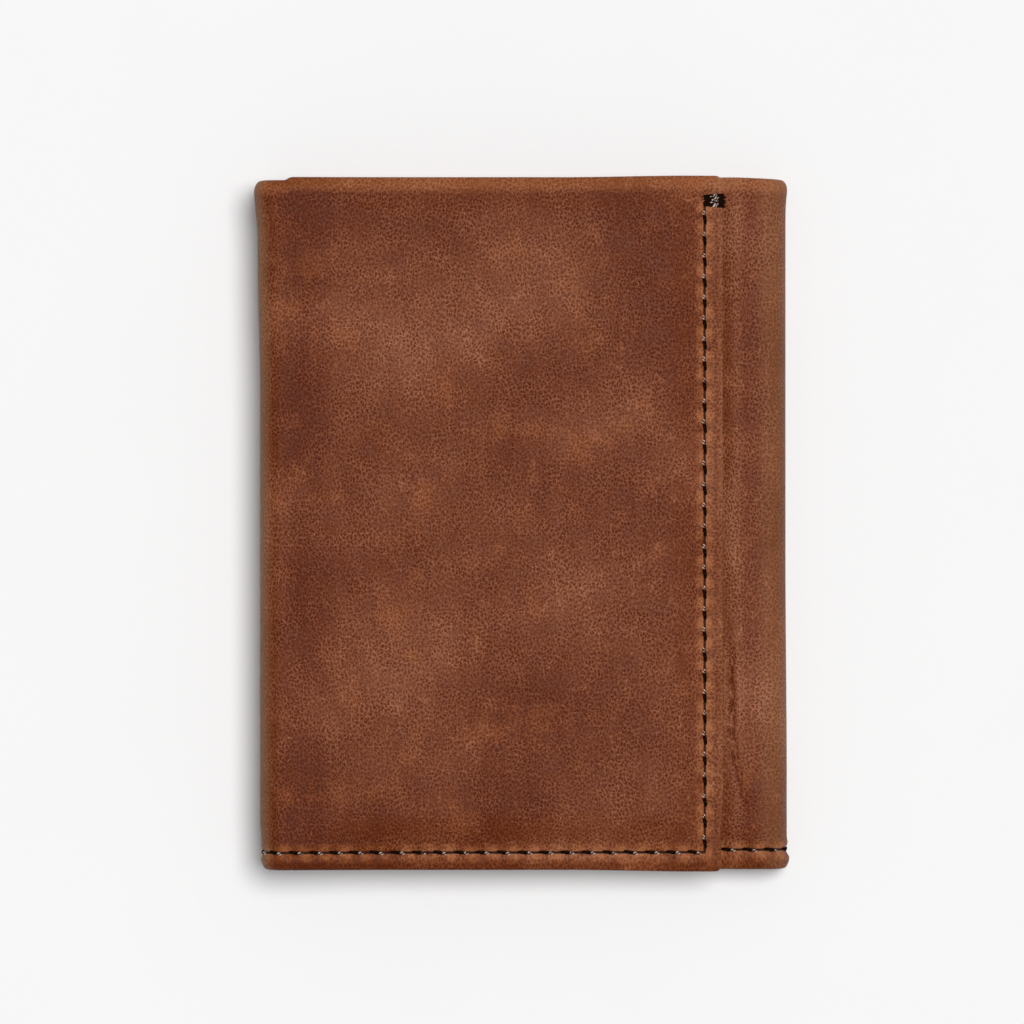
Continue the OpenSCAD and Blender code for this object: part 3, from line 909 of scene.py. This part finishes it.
def window_frame():
    """The leather frame: its walls by the notch are drawn onto a circle, and its rims are thin."""
    ends = sorted(on_panel("inner_flap", x) for x in (frame_low.x, frame_high.x))
    rows = POCKET_ROWS["inner_flap"]
    s_marks = [ends[0], *hole_s, ends[1]]
    v_marks = [frame_low.y, *window[2:], frame_high.y]
    lines = []
    for marks, seams in ((s_marks, [rows[0][0][0], rows[2][0][0]]), (v_marks, [SEAM_Y])):
        edges = [(marks[0], 1), (marks[3], -1), (marks[1], -1), (marks[2], 1)]
        lines.append(ruled(marks, 0.7 * MM, edges, seams))
    bm = slab(*lines, opening)
    s, v, face = flat_places(bm)
    rim = np.array([any(is_wall(e) for e in vert.link_edges) for vert in bm.verts])
    away = np.hypot(s - notch_s, v - notch_y)
    near = rim & (abs(away - NOTCH_R) < 1.1 * MM) & (v > window[3] + 1 * MM)
    pull = np.where(near, NOTCH_R / np.maximum(away, 1e-9), 1.0)
    s, v = notch_s + (s - notch_s) * pull, np.minimum(notch_y + (v - notch_y) * pull, frame_high.y)
    gap = np.minimum(np.minimum(s - ends[0], ends[1] - s), np.minimum(v - frame_low.y, frame_high.y - v))
    aside = np.maximum(np.maximum(hole_s[0] - s, s - hole_s[1]), 0)
    above = np.maximum(np.maximum(window[2] - v, v - window[3]), 0)
    to_hole = np.hypot(aside, above)
    to_notch = np.maximum(np.hypot(s - notch_s, v - notch_y) - NOTCH_R, 0)
    gap = np.minimum(np.minimum(gap, to_hole), to_notch)
    top, bottom = depths("window_frame", TUCK_Z)
    thin = np.minimum(roll(gap, 0.45 * MM, 0.25 * MM), 0.25 * MM)
    depth = np.where(face > 0.5, top, bottom - thin - furrow(rows, s, v))
    return finish_sheet("window_frame_leather", bm, s, v, depth, gap, pocket_leather)


carried(window_frame(), "inner_flap", ["window_frame"])
film_ends = sorted(on_panel("inner_flap", x) for x in (film_low.x, film_high.x))
film_sides = (film_low.y, film_high.y, *depths("window_film", TUCK_Z))
film = plain_sheet("window_film_clear", film_ends, *film_sides, film_finish, 0.05 * MM, step=2.5 * MM)
carried(film, "inner_flap", ["window_film"])

# %% [markdown]
# ## Stitches
# Each stitch is a short round thread that comes up through one hole and goes down through
# the next, a little askew to the row because the needle twists it. There are hundreds, so
# each one is a small sphere operator, drawn out along its row and dipped at both ends.
# They are laid flat on the same ruler and folded with the leather.

# %% Shape a stitch
THREAD_R = 0.31 * MM
THREAD_IN = 0.14 * MM
DIP = 0.22 * MM
SLANT = math.radians(10)
random.seed(11)


def stitch(bm, start, heading, length, depth, slant, dips, radius=THREAD_R, glint=(0.1, 1.0)):
    """One stitch from start along heading.

    depth is its middle's depth, and dips how far its two ends go in. glint says where along the
    thread the painted highlight of its twist lies, and how short it is.
    """
    twist = bm.verts.layers.float_vector.verify()
    made = bmesh.ops.create_uvsphere(bm, u_segments=8, v_segments=6, radius=1.0)["verts"]
    bmesh.ops.rotate(bm, verts=made, cent=(0, 0, 0), matrix=Matrix.Rotation(math.pi / 2, 3, "Y"))
    turn = heading + slant
    half = length / 2
    mid = Vector((start[0] + math.cos(heading) * half, start[1] + math.sin(heading) * half))
    for vert in made:
        a, b, c = vert.co
        along = a * radius + math.copysign(min(1.0, abs(a) * 1.6), a) * (half - radius)
        slim = 1 - 0.25 * min(1.0, abs(along) / half) ** 2
        dip = dips[0 if along < 0 else 1] * (abs(along) / half) ** 3
        across, up = b * radius * slim, c * radius * slim
        vert.co.x = mid.x + along * math.cos(turn) - across * math.sin(turn)
        vert.co.y = mid.y + along * math.sin(turn) + across * math.cos(turn)
        vert.co.z = depth + up + dip
        share = (along / half + 1) / 2
        vert[twist] = ((share - glint[0]) * glint[1], math.atan2(c, b) / (2 * math.pi) % 1.0, 0)


def sew(bm, row, depth, into, slant, span=None):
    """All the stitches of a row whose middles lie in the span."""
    (s0, v0), (s1, v1) = row
    count, run = stitches_in(row)
    pitch = run / count
    heading = math.atan2(v1 - v0, s1 - s0)
    for i in range(count):
        askew = slant + random.uniform(-0.06, 0.06)
        long = pitch - random.uniform(0.75, 1.0) * MM
        at = (i + 0.5) * pitch - long / 2
        middle = s0 + (s1 - s0) * (i + 0.5) / count
        if span and not span[0] <= middle < span[1]:
            continue
        start = (s0 + math.cos(heading) * at, v0 + math.sin(heading) * at)
        stitch(bm, start, heading, long, depth, askew, (into * DIP, into * DIP))


def flip_if_inside_out(mesh):
    """Folding can mirror a shape, and then its faces are turned back outwards."""
    co = np.array([v.co[:] for v in mesh.vertices])
    mesh.calc_loop_triangles()
    tri = np.array([t.vertices[:] for t in mesh.loop_triangles])
    a, b, c = co[tri[:, 0]], co[tri[:, 1]], co[tri[:, 2]]
    if (a * np.cross(b, c)).sum() < 0:
        mesh.flip_normals()


def thread_piece(name, bm):
    """Folds a set of threads and gives them a map of the way along and round the thread."""
    s, v, depth = flat_places(bm)
    twist = bm.verts.layers.float_vector.verify()
    marks = [vert[twist][:2] for vert in bm.verts]
    bm.verts.layers.float_vector.remove(twist)
    for face in bm.faces:
        face.smooth = True
    mesh = bpy.data.meshes.new(name)
    bmesh.ops.recalc_face_normals(bm, faces=bm.faces[:])
    bm.to_mesh(mesh)
    bm.free()
    mesh.vertices.foreach_set("co", fold(s, v, depth).astype(np.float32).ravel())
    ruler = mesh.uv_layers.new(name="ruler")
    for poly in mesh.polygons:
        turns = [marks[mesh.loops[i].vertex_index] for i in poly.loop_indices]
        wraps = max(t[1] for t in turns) - min(t[1] for t in turns) > 0.5
        for i, (u, t) in zip(poly.loop_indices, turns):
            ruler.data[i].uv = (u, t + 1 if wraps and t < 0.5 else t)
    mesh.materials.append(thread_finish)
    mesh.update()
    flip_if_inside_out(mesh)
    obj = bpy.data.objects.new(name, mesh)
    bpy.context.scene.collection.objects.link(obj)
    return obj


# %% [markdown]
# ## Rows of stitches
# The lower row crosses every fold, so each part of the cover takes the stitches whose
# middles lie on it. The pockets are sewn on from the inside, so their threads dip the
# other way. A thread leans out of its row, because the needle lays it at a slant.

# %% Sew the rows
FREE_ROWS = {"outer": ["flap_edge"], "back_left": [], "back_right": [], "inner": ["tuck_edge"]}
THREAD_NODES = {
    "outer": ["stitching_left_spine"], "back_left": [], "back_right": ["stitching_right_spine"], "inner": [],
}
for part, span in SPANS.items():
    bm = bmesh.new()
    for name in FREE_ROWS[part]:
        sew(bm, COVER_ROWS[name], THREAD_IN, 1, -SLANT)
    sew(bm, COVER_ROWS["lower_edge"], THREAD_IN, 1, SLANT, span)
    carried(thread_piece("cover_thread_" + part, bm), part, THREAD_NODES[part])
for panel, rows in POCKET_ROWS.items():
    inside = FRAME_T if panel == "inner_flap" else PANEL_T
    bm = bmesh.new()
    for row in rows:
        sew(bm, row, inside - THREAD_IN, -1, SLANT)
    carried(thread_piece("pocket_thread_" + panel, bm), panel, ["stitching_" + panel])

# %% [markdown]
# ## Bar tacks
# The top of each free edge takes the most strain, so the row ends in a bar tack: ten
# threads laid side by side over the edge. Thin stitches next to each other, each a little
# crooked, give its dense, bristly look.


# %% Tack the corners
TACK_THREADS = 10
TACK_R = 0.17 * MM
TACK_IN = 2.8
FAN = 0.16


def bar_tack(panel):
    """A close row of thin crooked stitches over the top of a free edge."""
    low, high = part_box("bar_tack_" + panel)
    outward = -1 if panel == "outer_flap" else 1
    edge = 0.0 if panel == "outer_flap" else S_END
    heading = 0.0 if outward > 0 else math.pi
    dips = (0.12 * MM, 0.6 * MM)
    bm = bmesh.new()
    for i in range(TACK_THREADS):
        share = (i + 0.5) / TACK_THREADS
        height = low.y + (high.y - low.y) * share
        reach = random.uniform(3.1, 3.4) * MM
        start = (edge - outward * (TACK_IN + random.uniform(-0.1, 0.1)) * MM, height)
        fan = outward * FAN * (share - 0.5) + random.uniform(-0.03, 0.03)
        # The last pair places the painted highlight on each thread's twist.
        stitch(bm, start, heading, reach, -0.1 * MM, fan, dips, TACK_R, (random.uniform(0.4, 0.6), 2.3))
    carried(thread_piece("tack_" + panel, bm), panel, ["bar_tack_" + panel])


bar_tack("outer_flap")
bar_tack("inner_flap")

# %% [markdown]
# ## Floor, light and camera
# The wallet lies on a plain white table. One wide sun from the upper right and an even
# sky give the soft shadow at the left and below. The camera looks straight down through
# a long lens.

# %% Set the stage
PALE, PALER = (0.843, 0.843, 0.843, 1), (0.855, 0.855, 0.855, 1)
SKY, SUN, SUN_WIDTH = 0.197, 2.91, math.radians(26)
SUN_FROM = Vector((0.167, 0.135, 1.0))
VIEW_CENTRE, VIEW_WIDTH = Vector((-1.67 * MM, 1.64 * MM, 0.012)), 160.3 * MM
DISTANCE, SENSOR = 1.2, 36

floor_mesh = bpy.data.meshes.new("floor")
bm = bmesh.new()
bmesh.ops.create_grid(bm, x_segments=1, y_segments=1, size=1.5)
bm.to_mesh(floor_mesh)
bm.free()
floor = bpy.data.objects.new("floor", floor_mesh)
bpy.context.scene.collection.objects.link(floor)
material, tree, shader = start_finish("white_table")
shader.inputs["Roughness"].default_value = 0.9
shader.inputs["Specular IOR Level"].default_value = 0.0
place = Wire(tree).node("ShaderNodeTexCoord", {}, out=3)
speck = place.node("ShaderNodeTexNoise", {"Vector": place, "Scale": 40.0, "Detail": 2.0})
tree.links.new(speck.tint(PALE, PALER).socket, shader.inputs["Base Color"])
floor_mesh.materials.append(material)
floor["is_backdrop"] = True

scene = bpy.context.scene
scene.view_settings.view_transform = "Standard"
world = bpy.data.worlds.new("sky")
scene.world = world
world.use_nodes = True
background = world.node_tree.nodes["Background"]
background.inputs["Color"].default_value = (1, 1, 1, 1)
background.inputs["Strength"].default_value = SKY

sun_data = bpy.data.lights.new("sun", "SUN")
sun_data.energy = SUN
sun_data.angle = SUN_WIDTH
sun = bpy.data.objects.new("sun", sun_data)
sun.rotation_euler = SUN_FROM.to_track_quat("Z", "Y").to_euler()
scene.collection.objects.link(sun)

camera_data = bpy.data.cameras.new("camera")
camera_data.sensor_width = SENSOR
camera_data.lens = SENSOR * DISTANCE / VIEW_WIDTH
camera_data.clip_end = 20
camera = bpy.data.objects.new("camera", camera_data)
camera.location = VIEW_CENTRE + Vector((0, 0, DISTANCE))
scene.collection.objects.link(camera)
scene.camera = camera
print(f"lens {camera_data.lens:.0f} mm at {DISTANCE} m")

# %% [markdown]
# ## Final sizes
# The boxes of the CAD model and of the finished one are printed.

# %% Write the sizes and finish
visual_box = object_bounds()
for name, (low, high) in (("CAD", cad_box), ("visual", visual_box)):
    print(name, "box in mm:", [round(c / MM, 2) for c in low], [round(c / MM, 2) for c in high])
